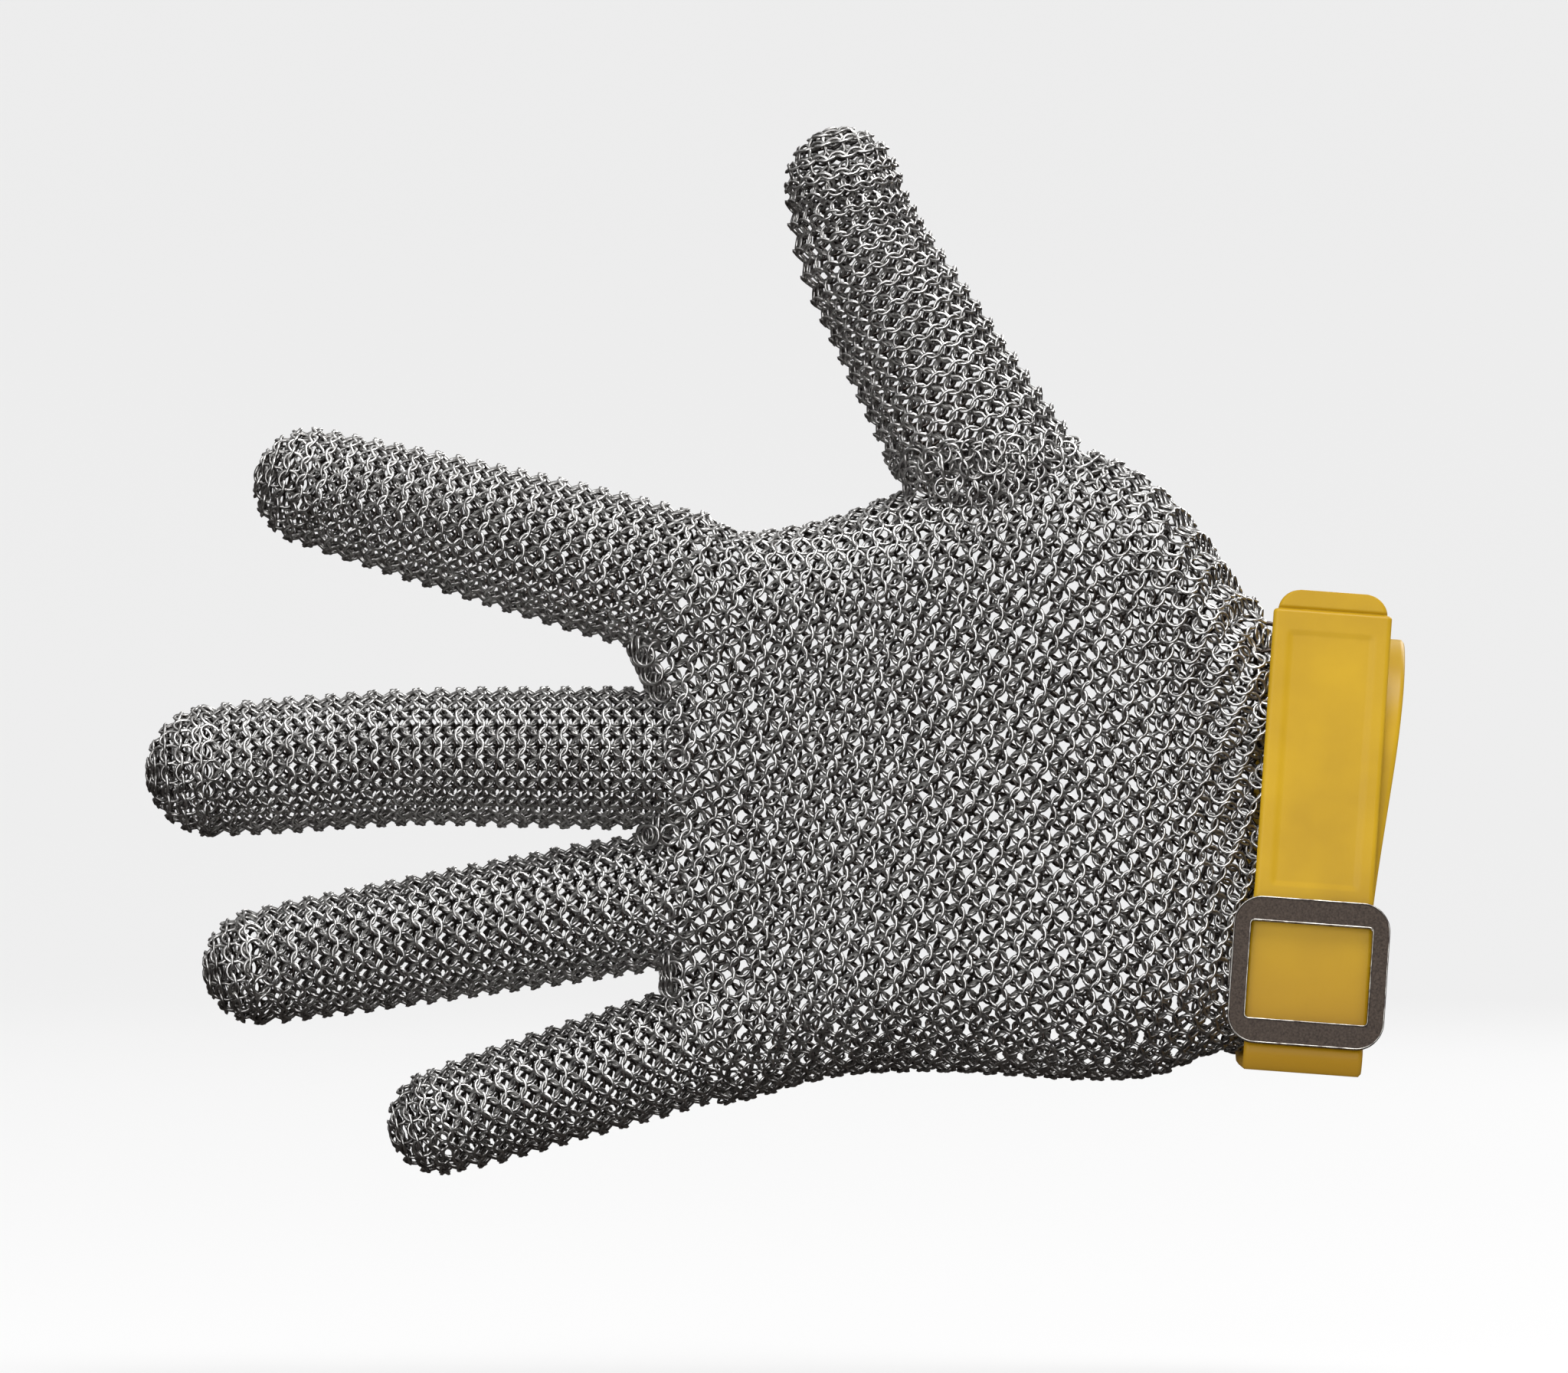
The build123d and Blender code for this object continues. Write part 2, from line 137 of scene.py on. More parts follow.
# Strap
STRAP_WIDTH = 21.6 * MM
STRAP_THICKNESS = 2.0 * MM
WRIST_HALF_DEPTH = 22 * MM
WRIST_STRAIGHT = 34 * MM
LOOP_RADIUS = 2.6 * MM
LOOP_START = 110              # degrees
STRAP_CORNER = 2.6 * MM
EDGE_CORNER = 0.55 * MM       # rounding of the strap's long edges
END_CORNER = 0.8 * MM
TAB_CORNER = 4.0 * MM
TAB_LENGTH = 3.6 * MM
TAB_INSET = 0.8 * MM          # the tab is narrower than the strap
TAB_STEP = 0.6 * MM
TAB_GROOVE = 0.5 * MM
TAB_GROOVE_WIDTH = 0.35 * MM
PANEL_DEPTH = 0.22 * MM
PANEL_MARGIN = 3.2 * MM
PANEL_START, PANEL_END = 54 * MM, 8 * MM      # both from the free end's tip
WINDOW_EXTRA = 0.6 * MM       # the free end fills the buckle's window
WINDOW_TOP, WINDOW_FADE = 10 * MM, 14 * MM
BAND_SKEW = 3.4 * MM          # the band runs a little askew under the free end
SKEW_HEIGHT, SKEW_RISE = 8 * MM, 60 * MM      # the skew's middle, and the run in which it grows, upwards
SKEW_DEPTH, SKEW_FADE = 13 * MM, 24 * MM      # the same from the palm's side to the back
STRIP_SAMPLES = 24            # from the middle of the strap to its edge


def linear(colour, alpha=1.0):
    """An sRGB hex colour as linear RGBA."""
    channels = [int(colour[i:i + 2], 16) / 255 for i in (1, 3, 5)]
    return [c / 12.92 if c <= 0.04045 else ((c + 0.055) / 1.055) ** 2.4 for c in channels] + [alpha]


def add(tree, kind, settings=None, inputs=None):
    """A new node with its settings; inputs are values or output sockets, by name or by number."""
    node = tree.nodes.new(kind)
    for name, value in (settings or {}).items():
        setattr(node, name, value)
    for name, value in (inputs or {}).items():
        if isinstance(value, bpy.types.NodeSocket):
            tree.links.new(value, node.inputs[name])
        else:
            node.inputs[name].default_value = value
    return node


def new_material(name):
    """An empty material and its node tree."""
    made = bpy.data.materials.new(name)
    made.use_nodes = True
    made.node_tree.nodes.clear()
    return made, made.node_tree


# Drawn stainless steel wire, tumbled bright after the rings are welded: white glints on grey, no two
# rings quite the same tone, and a painted shade, dark warm grey, on the side of each wire that faces into the
# hand. Stains are about 2 mm across, and the drawn grain is 0.3 mm, coarser than the real one so that it
# shows.
ring_steel, tree = new_material("drawn_stainless_wire")
place = add(tree, "ShaderNodeTexCoord").outputs["Object"]
tone = add(tree, "ShaderNodeAttribute", {"attribute_name": "tone"}).outputs["Fac"]
stain = add(tree, "ShaderNodeTexNoise", None, {"Vector": place, "Scale": 450.0, "Detail": 2.0}).outputs["Fac"]
mixed = add(tree, "ShaderNodeMath", {"operation": "MULTIPLY_ADD"}, {0: tone, 1: 0.5, 2: stain}).outputs[0]
shade = add(tree, "ShaderNodeValToRGB", None, {"Fac": mixed})
shade.color_ramp.elements[0].position = 0.35
shade.color_ramp.elements[0].color = linear("#A5A3A1")
shade.color_ramp.elements[1].position = 0.95
shade.color_ramp.elements[1].color = linear("#F0EFED")
# Painted shade: the side of each wire that faces into the hand gets the dark warm grey #4B433E below, under
# any light
painted_light = add(tree, "ShaderNodeAttribute", {"attribute_name": "painted_shade_factor"}).outputs["Fac"]
wire_colour_with_painted_shade = add(tree, "ShaderNodeMix", {"data_type": "RGBA"}, {
    "Factor": painted_light, 6: linear("#4B433E"), 7: shade.outputs["Color"]}).outputs[2]
gloss = add(tree, "ShaderNodeMapRange", None, {"Value": stain, "To Min": 0.22, "To Max": 0.4}).outputs[0]
drawn = add(tree, "ShaderNodeTexNoise", None, {
    "Vector": place, "Scale": 3000.0, "Detail": 1.0}).outputs["Fac"]
bump = add(tree, "ShaderNodeBump", None, {"Height": drawn, "Strength": 0.12, "Distance": 0.00005})
shader = add(tree, "ShaderNodeBsdfPrincipled", None, {
    "Base Color": wire_colour_with_painted_shade, "Metallic": 1.0, "Roughness": gloss, "Normal": bump.outputs[0]})
add(tree, "ShaderNodeOutputMaterial", None, {"Surface": shader.outputs[0]})

# Injection moulded polyurethane, warm yellow: satin, faintly mottled in patches of 17 mm, a fine orange
# peel of 0.6 mm in the gloss, and a painted shade that darkens it towards the bottom, near the buckle.
strap_plastic, tree = new_material("moulded_polyurethane")
place = add(tree, "ShaderNodeTexCoord").outputs["Object"]
cloud = add(tree, "ShaderNodeTexNoise", None, {"Vector": place, "Scale": 60.0, "Detail": 3.0}).outputs["Fac"]
shade = add(tree, "ShaderNodeValToRGB", None, {"Fac": cloud})
shade.color_ramp.elements[0].position = 0.3
shade.color_ramp.elements[0].color = linear("#A8830A")
shade.color_ramp.elements[1].position = 0.7
shade.color_ramp.elements[1].color = linear("#B8920E")
# Painted shade: the colour darkens towards the bottom, near the buckle, where the strap curves away from the
# light
height = add(tree, "ShaderNodeSeparateXYZ", None, {0: place}).outputs["Z"]
painted_shade = add(tree, "ShaderNodeMapRange", {"interpolation_type": "SMOOTHSTEP"}, {
    "Value": height, "From Min": -0.042, "From Max": -0.004}).outputs[0]
colour = add(tree, "ShaderNodeMix", {"data_type": "RGBA"}, {
    "Factor": painted_shade, 6: linear("#966F04"), 7: shade.outputs["Color"]}).outputs[2]
grain = add(tree, "ShaderNodeTexNoise", None, {
    "Vector": place, "Scale": 1800.0, "Detail": 2.0}).outputs["Fac"]
peel = add(tree, "ShaderNodeBump", None, {"Height": grain, "Strength": 0.18, "Distance": 0.0001})
gloss = add(tree, "ShaderNodeMapRange", None, {"Value": cloud, "To Min": 0.36, "To Max": 0.5}).outputs[0]
shader = add(tree, "ShaderNodeBsdfPrincipled", None, {
    "Base Color": colour, "Roughness": gloss, "IOR": 1.5, "Specular IOR Level": 0.3,
    "Normal": peel.outputs[0]})
add(tree, "ShaderNodeOutputMaterial", None, {"Surface": shader.outputs[0]})

# Stamped steel with a dark oxide finish: brown-grey, nearly matt, with a grit of 0.4 mm.
buckle_dark, tree = new_material("blackened_stamped_steel")
place = add(tree, "ShaderNodeTexCoord").outputs["Object"]
grit = add(tree, "ShaderNodeTexNoise", None, {"Vector": place, "Scale": 2600.0, "Detail": 3.0}).outputs["Fac"]
shade = add(tree, "ShaderNodeValToRGB", None, {"Fac": grit})
shade.color_ramp.elements[0].position = 0.3
shade.color_ramp.elements[0].color = linear("#3B3430")
shade.color_ramp.elements[1].position = 0.75
shade.color_ramp.elements[1].color = linear("#5E534B")
pits = add(tree, "ShaderNodeBump", None, {"Height": grit, "Strength": 0.3, "Distance": 0.00008})
gloss = add(tree, "ShaderNodeMapRange", None, {"Value": grit, "To Min": 0.42, "To Max": 0.6}).outputs[0]
shader = add(tree, "ShaderNodeBsdfPrincipled", None, {
    "Base Color": shade.outputs["Color"], "Metallic": 0.85, "Roughness": gloss, "Normal": pits.outputs[0]})
add(tree, "ShaderNodeOutputMaterial", None, {"Surface": shader.outputs[0]})

# The same steel, bright in patches of 2 mm along the buckle's sharp edges: worn by the strap, and a painted
# highlight where a rounded edge would catch the light.
buckle_edge, tree = new_material("worn_steel_edge_with_painted_highlight")
place = add(tree, "ShaderNodeTexCoord").outputs["Object"]
wear = add(tree, "ShaderNodeTexNoise", None, {"Vector": place, "Scale": 500.0, "Detail": 3.0}).outputs["Fac"]
shade = add(tree, "ShaderNodeValToRGB", None, {"Fac": wear})
shade.color_ramp.elements[0].position = 0.35
shade.color_ramp.elements[0].color = linear("#6B6360")
shade.color_ramp.elements[1].position = 0.6
shade.color_ramp.elements[1].color = linear("#C9C6C0")
shader = add(tree, "ShaderNodeBsdfPrincipled", None, {
    "Base Color": shade.outputs["Color"], "Metallic": 1.0, "Roughness": 0.3})
add(tree, "ShaderNodeOutputMaterial", None, {"Surface": shader.outputs[0]})


def new_tree(name, inputs):
    """A Geometry Nodes tree with its named inputs, and the sockets that give them."""
    made = bpy.data.node_groups.new(name, "GeometryNodeTree")
    made.interface.new_socket("Geometry", in_out="OUTPUT", socket_type="NodeSocketGeometry")
    for label, kind, value in inputs:
        socket = made.interface.new_socket(label, in_out="INPUT", socket_type="NodeSocket" + kind)
        if value is not None:
            socket.default_value = value
    return made, add(made, "NodeGroupInput").outputs


def grown_mesh(source, made, values):
    """What a tree makes of an object, as one plain mesh; values go to the tree's inputs by name."""
    modifier = source.modifiers.new(made.name, "NODES")
    modifier.node_group = made
    for item in made.interface.items_tree:
        if item.in_out == "INPUT" and item.name in values:
            modifier[item.identifier] = values[item.name]
    bpy.context.view_layer.update()
    evaluated = source.evaluated_get(bpy.context.evaluated_depsgraph_get())
    mesh = bpy.data.meshes.new_from_object(evaluated)
    source.modifiers.clear()
    return mesh


def new_mesh_object(name, verts, faces, made_of):
    mesh = bpy.data.meshes.new(name)
    mesh.from_pydata([tuple(v) for v in verts], [], faces)
    mesh.materials.append(made_of)
    mesh.polygons.foreach_set("use_smooth", [True] * len(mesh.polygons))
    piece = bpy.data.objects.new(name, mesh)
    bpy.context.scene.collection.objects.link(piece)
    return piece


# ---------------------------------------------------------------- ring mail tree

mail, given = new_tree("ring mail", (
    ("Geometry", "Geometry", None), ("Ring radius", "Float", RING_RADIUS),
    ("Wire radius", "Float", WIRE_RADIUS), ("Lean", "Float", RING_LEAN), ("Jitter", "Float", RING_JITTER),
    ("Ring facets", "Int", RING_FACETS), ("Wire facets", "Int", WIRE_FACETS), ("Seed", "Int", 3),
    ("Steel", "Material", None)))
wire = add(mail, "GeometryNodeCurvePrimitiveCircle", None, {
    "Resolution": given["Wire facets"], "Radius": given["Wire radius"]})
loop = add(mail, "GeometryNodeCurvePrimitiveCircle", None, {
    "Resolution": given["Ring facets"], "Radius": given["Ring radius"]})
ring = add(mail, "GeometryNodeCurveToMesh", None, {
    "Curve": loop.outputs["Curve"], "Profile Curve": wire.outputs["Curve"]})
outward = add(mail, "GeometryNodeInputNamedAttribute", {"data_type": "FLOAT_VECTOR"}, {"Name": "outward"})
along = add(mail, "GeometryNodeInputNamedAttribute", {"data_type": "FLOAT_VECTOR"}, {"Name": "along"})
side = add(mail, "GeometryNodeInputNamedAttribute", {"data_type": "FLOAT"}, {"Name": "side"})
facing = add(mail, "FunctionNodeAxesToRotation", {"primary_axis": "Z", "secondary_axis": "X"}, {
    0: outward.outputs["Attribute"], 1: along.outputs["Attribute"]})
tilt = add(mail, "ShaderNodeMath", {"operation": "MULTIPLY"}, {
    0: given["Lean"], 1: side.outputs["Attribute"]})
lean = add(mail, "ShaderNodeCombineXYZ", None, {"Y": tilt.outputs[0]})
negative = add(mail, "ShaderNodeMath", {"operation": "MULTIPLY"}, {0: given["Jitter"], 1: -1.0})
lowest = add(mail, "ShaderNodeCombineXYZ", None, {axis: negative.outputs[0] for axis in "XYZ"})
highest = add(mail, "ShaderNodeCombineXYZ", None, {axis: given["Jitter"] for axis in "XYZ"})
shake = add(mail, "FunctionNodeRandomValue", {"data_type": "FLOAT_VECTOR"}, {
    0: lowest.outputs[0], 1: highest.outputs[0], "Seed": given["Seed"]})
turned = add(mail, "ShaderNodeVectorMath", {"operation": "ADD"}, {0: lean.outputs[0], 1: shake.outputs[0]})
turn = add(mail, "FunctionNodeEulerToRotation", None, {0: turned.outputs[0]})
rotation = add(mail, "FunctionNodeRotateRotation", {"rotation_space": "LOCAL"}, {
    0: facing.outputs[0], 1: turn.outputs[0]})
placed = add(mail, "GeometryNodeInstanceOnPoints", None, {
    "Points": given["Geometry"], "Instance": ring.outputs["Mesh"], "Rotation": rotation.outputs[0]})
random_tone = add(mail, "FunctionNodeRandomValue", {"data_type": "FLOAT"}, {"Seed": given["Seed"]})
toned = add(mail, "GeometryNodeStoreNamedAttribute", {"data_type": "FLOAT", "domain": "INSTANCE"}, {
    "Geometry": placed.outputs[0], "Name": "tone", "Value": random_tone.outputs[1]})
real = add(mail, "GeometryNodeRealizeInstances", None, {"Geometry": toned.outputs[0]})
# Painted shade: 1 where a wire faces out of the hand, 0 where it faces in, stored for the steel to darken the
# inward side
normal = add(mail, "GeometryNodeInputNormal").outputs[0]
out_share = add(mail, "ShaderNodeVectorMath", {"operation": "DOT_PRODUCT"}, {
    0: normal, 1: outward.outputs["Attribute"]}).outputs["Value"]
painted_shade_factor = add(mail, "ShaderNodeMapRange", None, {
    "Value": out_share, "From Min": -0.5, "From Max": 0.2}).outputs[0]
painted_light = add(mail, "GeometryNodeStoreNamedAttribute", {"data_type": "FLOAT", "domain": "POINT"}, {
    "Geometry": real.outputs[0], "Name": "painted_shade_factor", "Value": painted_shade_factor})
smooth = add(mail, "GeometryNodeSetShadeSmooth", None, {0: painted_light.outputs[0]})
steel = add(mail, "GeometryNodeSetMaterial", None, {
    "Geometry": smooth.outputs[0], "Material": given["Steel"]})
add(mail, "NodeGroupOutput", None, {"Geometry": steel.outputs[0]})


def make_rings(name, rings, seed):
    """Rings as one plain mesh; each ring is its centre, the way out, the way along and its lean's side."""
    points = bpy.data.meshes.new(name + "_points")
    points.from_pydata([tuple(r[0]) for r in rings], [], [])
    for label, number in (("outward", 1), ("along", 2)):
        layer = points.attributes.new(label, "FLOAT_VECTOR", "POINT")
        layer.data.foreach_set("vector", [c for r in rings for c in r[number]])
    layer = points.attributes.new("side", "FLOAT", "POINT")
    layer.data.foreach_set("value", [r[3] for r in rings])
    source = bpy.data.objects.new(name + "_points", points)
    bpy.context.scene.collection.objects.link(source)
    mesh = grown_mesh(source, mail, {"Seed": seed, "Steel": ring_steel})
    mesh.name = name
    bpy.data.objects.remove(source)
    piece = bpy.data.objects.new(name, mesh)
    bpy.context.scene.collection.objects.link(piece)
    return piece


# ---------------------------------------------------------------- what the CAD says

def surface_of(*names):
    """The surfaces of some CAD nodes as one, to look for with rays."""
    verts, faces = [], []
    for name in names:
        mesh = frame["nodes"][name].data
        base = len(verts)
        verts += [v.co.copy() for v in mesh.vertices]
        faces += [[base + i for i in p.vertices] for p in mesh.polygons]
    return BVHTree.FromPolygons(verts, faces)


joints = {j["name"]: j for j in frame["joints"]}
UP = Vector((0, 0, 1))
BACK = Vector((0, -1, 0))     # from the hand's inside out through its back
PALM = Vector((0, 1, 0))
# Places outside the hand to look in from: two heights, a depth, and a way off either face
LOW, HIGH, BEHIND, OFF_FACE = -100 * MM, 150 * MM, -60 * MM, 50 * MM


def between(x, xs, values):
    """Straight-line interpolation in a rising table."""
    if x <= xs[0]:
        return values[0]
    for i in range(1, len(xs)):
        if x <= xs[i]:
            share = (x - xs[i - 1]) / (xs[i] - xs[i - 1])
            return values[i - 1] + share * (values[i] - values[i - 1])
    return values[-1]


def smoothed(values, reach):
    """Each value averaged with its neighbours."""
    result = []
    for i in range(len(values)):
        near = values[max(0, i - reach):i + reach + 1]
        result.append(sum(near) / len(near))
    return result


# Hand body: its top, bottom and half thickness every millimetre from the fingers to the wrist
hand_surface = surface_of("palm_mesh", "cuff_mesh")
hand_x, hand_top, hand_bottom, hand_half = [], [], [], []
known_x, known_top = [], []
for i in HAND_SPAN:
    x = i * MM
    low = hand_surface.ray_cast(Vector((x, 0, LOW)), UP)[0]
    high = hand_surface.ray_cast(Vector((x, 0, HIGH)), -UP)[0]
    if high and high.z > TOP_LOWEST:
        known_x.append(x)
        known_top.append(high.z)
    hand_x.append(x)
    hand_bottom.append(low.z if low else hand_bottom[-1])
for x, bottom in zip(hand_x, hand_bottom):
    top = between(x, known_x, known_top)
    hand_top.append(top)
    hit = hand_surface.ray_cast(Vector((x, BEHIND, (top + bottom) / 2)), PALM)[0]
    hand_half.append(-hit.y if hit and hit.y < 0 else hand_half[-1])
hand_top, hand_bottom, hand_half = [smoothed(v, SMOOTH_REACH) for v in (hand_top, hand_bottom, hand_half)]
hand_top = [top + BULGE * math.exp(-((x - BULGE_AT) / BULGE_REACH) ** 2) for x, top in zip(hand_x, hand_top)]


def hand_size(x):
    """Top, bottom and half thickness of the hand body."""
    return [between(x, hand_x, values) for values in (hand_top, hand_bottom, hand_half)]


def hand_girth(x):
    """Length of the ring sheet round the hand body."""
    top, bottom, half = hand_size(x)
    return 2 * (top - bottom - 2 * half) + 2 * math.pi * (half - SHEET_DEPTH)


finger_roots = {}
for name in FINGERS:
    joint = Vector(joints[name + "_root_bend"]["pos_m"])
    towards = (Vector(joints[name + "_middle_bend"]["pos_m"]) - joint).normalized()
    finger_roots[name] = (joint, towards, -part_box(name + "_root_mesh")[0].y)
knuckles = [((joint - towards * KNUCKLE_BACK).z, radius) for joint, towards, radius in finger_roots.values()]


def knuckle(x, z):
    """How much thinner the hand is than its outline, where the sheet comes down to the fingers."""
    share = min(max((KNUCKLE_START - x) / (KNUCKLE_START - HAND_FRONT), 0), 1)
    share = share * share * (3 - 2 * share)
    heights = [k[0] for k in knuckles]
    wanted = between(z, heights, [k[1] for k in knuckles]) / hand_half[0]
    if heights[0] < z < heights[-1]:
        i = max(n for n, h in enumerate(heights) if h <= z)
        phase = (z - heights[i]) / (heights[i + 1] - heights[i])
        wanted -= CROTCH_DIP * (1 - math.cos(2 * math.pi * phase)) / 2
    return 1 - share * (1 - min(wanted, 1))


def hand_point(x, share):
    """Point of the ring sheet, by its share of the way round: from the back's middle over the thumb side."""
    top, bottom, half = hand_size(x)
    radius = half - SHEET_DEPTH
    flat = top - bottom - 2 * half
    middle = (top + bottom) / 2
    arc = math.pi * radius
    s = (share % 1.0) * (2 * flat + 2 * arc)
    if s <= flat / 2:
        y, z = -radius, middle + s
    elif s <= flat / 2 + arc:
        angle = (s - flat / 2) / radius
        y, z = -radius * math.cos(angle), middle + flat / 2 + radius * math.sin(angle)
    elif s <= 1.5 * flat + arc:
        y, z = radius, middle + flat + arc - s
    elif s <= 1.5 * flat + 2 * arc:
        angle = (s - 1.5 * flat - arc) / radius
        y, z = radius * math.cos(angle), middle - flat / 2 - radius * math.sin(angle)
    else:
        y, z = -radius, middle - 2 * flat - 2 * arc + s
    return Vector((x, y * knuckle(x, z), z))


def hand_depth(point):
    """How far a point lies inside the hand body's outside, negative outside it."""
    top, bottom, half = hand_size(point.x)
    centre = min(max(point.z, bottom + half), top - half)
    return half - math.hypot(point.y / knuckle(point.x, point.z), point.z - centre)


thumb_joint = Vector(joints["thumb_root_bend"]["pos_m"])
thumb_along = (Vector(joints["thumb_tip_bend"]["pos_m"]) - thumb_joint).normalized()
seam_middle = thumb_joint - thumb_along * SEAM_BACK
thumb_base_surface = surface_of("thumb_base_mesh", "palm_mesh")


def seam_height(x):
    return seam_middle.z + SEAM_SLOPE * (x - seam_middle.x)


def depth_in_thumb(point):
    """How far inside the thumb's cone a point lies."""
    offset = point - thumb_joint
    behind = -offset.dot(thumb_along)
    radius = THUMB_BASE_RADIUS + THUMB_BASE_FLARE * max(behind, 0)
    return radius - (offset + thumb_along * behind).length


# ---------------------------------------------------------------- hand and cuff

strap_across = Vector(joints["buckle_tilt"]["axis"])
spare_rings = []
hand_rings = {"palm_back_rings": [], "palm_front_rings": [], "cuff_rings": []}
# Where the hand's rings give way to the fingers': through the first ring of each finger, on both its sides
boundary = []
for name in FINGERS:
    joint, towards, radius = finger_roots[name]
    across = Vector((towards.z, 0, -towards.x))
    start = joint - towards * DIGIT_START[name]
    boundary += [start + across * (radius - SHEET_DEPTH) * side for side in (-1, 1)]
boundary.sort(key=lambda p: p.z)
boundary_z = [p.z for p in boundary]
boundary_x = [p.x - 0.5 * MM for p in boundary]


def row_share(row, x):
    """Share of the way round at which a slanted row passes a place along the hand."""
    return row / HAND_ROWS - HAND_SLANT * (x - HAND_MIDDLE) / hand_girth(x)


def hand_ring(x, row):
    """One ring of the hand body and whether it lies past the hand's edge, or None where there is none."""
    share = row_share(row, x)
    point = hand_point(x, share)
    if point.x * strap_across.x + point.z * strap_across.z > MESH_END:
        return None
    past = between(point.z, boundary_z, boundary_x) - x
    if past > SPARE_REACH:
        return None
    step = 0.5 * MM
    along = (hand_point(x + step, row_share(row, x + step)) - hand_point(x - step, row_share(row, x - step)))
    girth = hand_girth(x)
    around = hand_point(x, share + step / girth) - hand_point(x, share - step / girth)
    outward = along.cross(around).normalized()
    if depth_in_thumb(point) > 0 and point.z > THUMB_LOWEST:
        if abs(outward.y) < EDGE_ON or point.z > seam_height(x):
            return None
        face = BACK if outward.y < 0 else PALM
        hit, normal = thumb_base_surface.ray_cast(Vector((x, 0, point.z)) + face * OFF_FACE, -face)[:2]
        if hit is None or normal.dot(face) < FACING:
            return None
        outward = normal
        point = hit - normal * SHEET_DEPTH
    return point, outward, along.normalized(), past > 0


for row in range(HAND_ROWS):
    for column in range(FIRST_COLUMN, LAST_COLUMN):
        if (column + row) % 2:
            continue
        x = hand_x[0] + (column - TURN_COLUMNS / 2) * COLUMN_STEP + row * HAND_SHIFT
        if not hand_x[0] - FRONT_SPARE <= x <= hand_x[-1]:
            continue
        found = hand_ring(x, row)
        if found is None:
            continue
        ring = (*found[:3], 1.0 if row % 2 else -1.0)
        if found[3]:
            spare_rings.append(ring)
        elif x > CUFF_START:
            hand_rings["cuff_rings"].append(ring)
        else:
            hand_rings["palm_back_rings" if found[1].y < 0 else "palm_front_rings"].append(ring)

hand_tree = KDTree(sum(len(v) for v in hand_rings.values()))
for rings in hand_rings.values():
    for ring in rings:
        hand_tree.insert(ring[0], 0)
hand_tree.balance()

# ---------------------------------------------------------------- fingers and thumb

def heading_at(s, distances, headings):
    """Direction of a digit's middle line, turning gently at each joint."""
    direction = headings[0]
    for turn_at, after in zip(distances[1:], headings[1:]):
        share = min(max((s - turn_at) / TURN_LENGTH + 0.5, 0), 1)
        direction = direction.lerp(after, share) if share > 0 else direction
    return direction.normalized()


digit_rings = {}
digit_marks = {}
for name in ("index", "middle", "ring", "little", "thumb"):
    bends = [n for n in ("root", "middle", "tip") if f"{name}_{n}_bend" in joints]
    marks = [Vector(joints[f"{name}_{n}_bend"]["pos_m"]) for n in bends]
    tip_mesh = frame["nodes"][f"{name}_tip_mesh"].data
    pole = max((v.co.copy() for v in tip_mesh.vertices), key=lambda p: (p - marks[-1]).length)
    pole.y = 0
    marks.append(pole)
    headings = [(b - a).normalized() for a, b in zip(marks, marks[1:])]
    lengths = [(b - a).length for a, b in zip(marks, marks[1:])]
    distances = [sum(lengths[:i]) for i in range(len(marks))]
    nodes = [f"{name}_{n}_mesh" for n in bends] + ["palm_mesh"]
    if name == "thumb":
        nodes.append("thumb_base_mesh")
    surface = surface_of(*nodes)

    # Middle line and outside radius every half pitch
    stations = []
    centre = marks[0] - headings[0] * DIGIT_START[name]
    s = -DIGIT_START[name]
    fine = HALF_PITCH / FINE_STEPS
    while s < distances[-1]:
        direction = heading_at(s, distances, headings)
        hit = surface.ray_cast(centre + BACK * OUTSIDE, PALM, OUTSIDE)[0]
        stations.append([s, centre.copy(), direction, (centre - hit).length if hit else None])
        for _ in range(FINE_STEPS):
            centre = centre + heading_at(s, distances, headings) * fine
            s += fine
    known = [(st[0], st[3]) for st in stations if st[3]]
    for st in stations:
        st[3] = between(st[0], [k[0] for k in known], [k[1] for k in known])
    tip_radius = next(st[3] for st in stations if st[0] > distances[-1] - TIP_REACH)
    shoulder = distances[-1] - tip_radius
    rings = []
    rows = DIGIT_ROWS[name]
    for course, (s, centre, direction, radius) in enumerate(stations):
        if s > shoulder:
            break
        across = direction.cross(PALM).normalized()
        for i in range(rows // 2):
            angle = 2 * math.pi * (2 * i + course % 2) / rows
            outward = BACK * math.cos(angle) + across * math.sin(angle)
            point = centre + outward * (radius - SHEET_DEPTH)
            if s < 0:
                if name == "thumb":
                    top = hand_size(point.x)[0]
                    if point.z < min(seam_height(point.x), top - 1.5 * MM):
                        continue
                elif point.x > HAND_FRONT and not IN_HAND[0] < hand_depth(point) < IN_HAND[1]:
                    continue
                if hand_tree.find(point)[2] < CLOSE_RINGS:
                    continue
            rings.append((point, outward, direction, 1.0 if course % 2 else -1.0, s))
    # Rounded end: courses that lose rings as they close
    base = stations[course][1] - stations[course][2] * (stations[course][0] - shoulder)
    direction = stations[course][2]
    across = direction.cross(PALM).normalized()
    radius = tip_radius - SHEET_DEPTH
    turns = 0
    angle_up = HALF_PITCH * 0.5 / radius
    while angle_up < math.pi / 2:
        level = radius * math.cos(angle_up)
        count = max(1, round(2 * math.pi * level / TIP_PITCH))
        for i in range(count):
            angle = 2 * math.pi * (i + 0.5 * (turns % 2)) / count
            around = BACK * math.cos(angle) + across * math.sin(angle)
            outward = around * math.cos(angle_up) + direction * math.sin(angle_up)
            meridian = direction * math.cos(angle_up) - around * math.sin(angle_up)
            rings.append((base + outward * radius, outward, meridian, 1.0 if turns % 2 else -1.0, shoulder))
        angle_up += TIP_STEP / radius
        turns += 1
    digit_rings[name] = rings
    digit_marks[name] = (marks, headings, lengths, distances, bends)

# ---------------------------------------------------------------- gathered rings

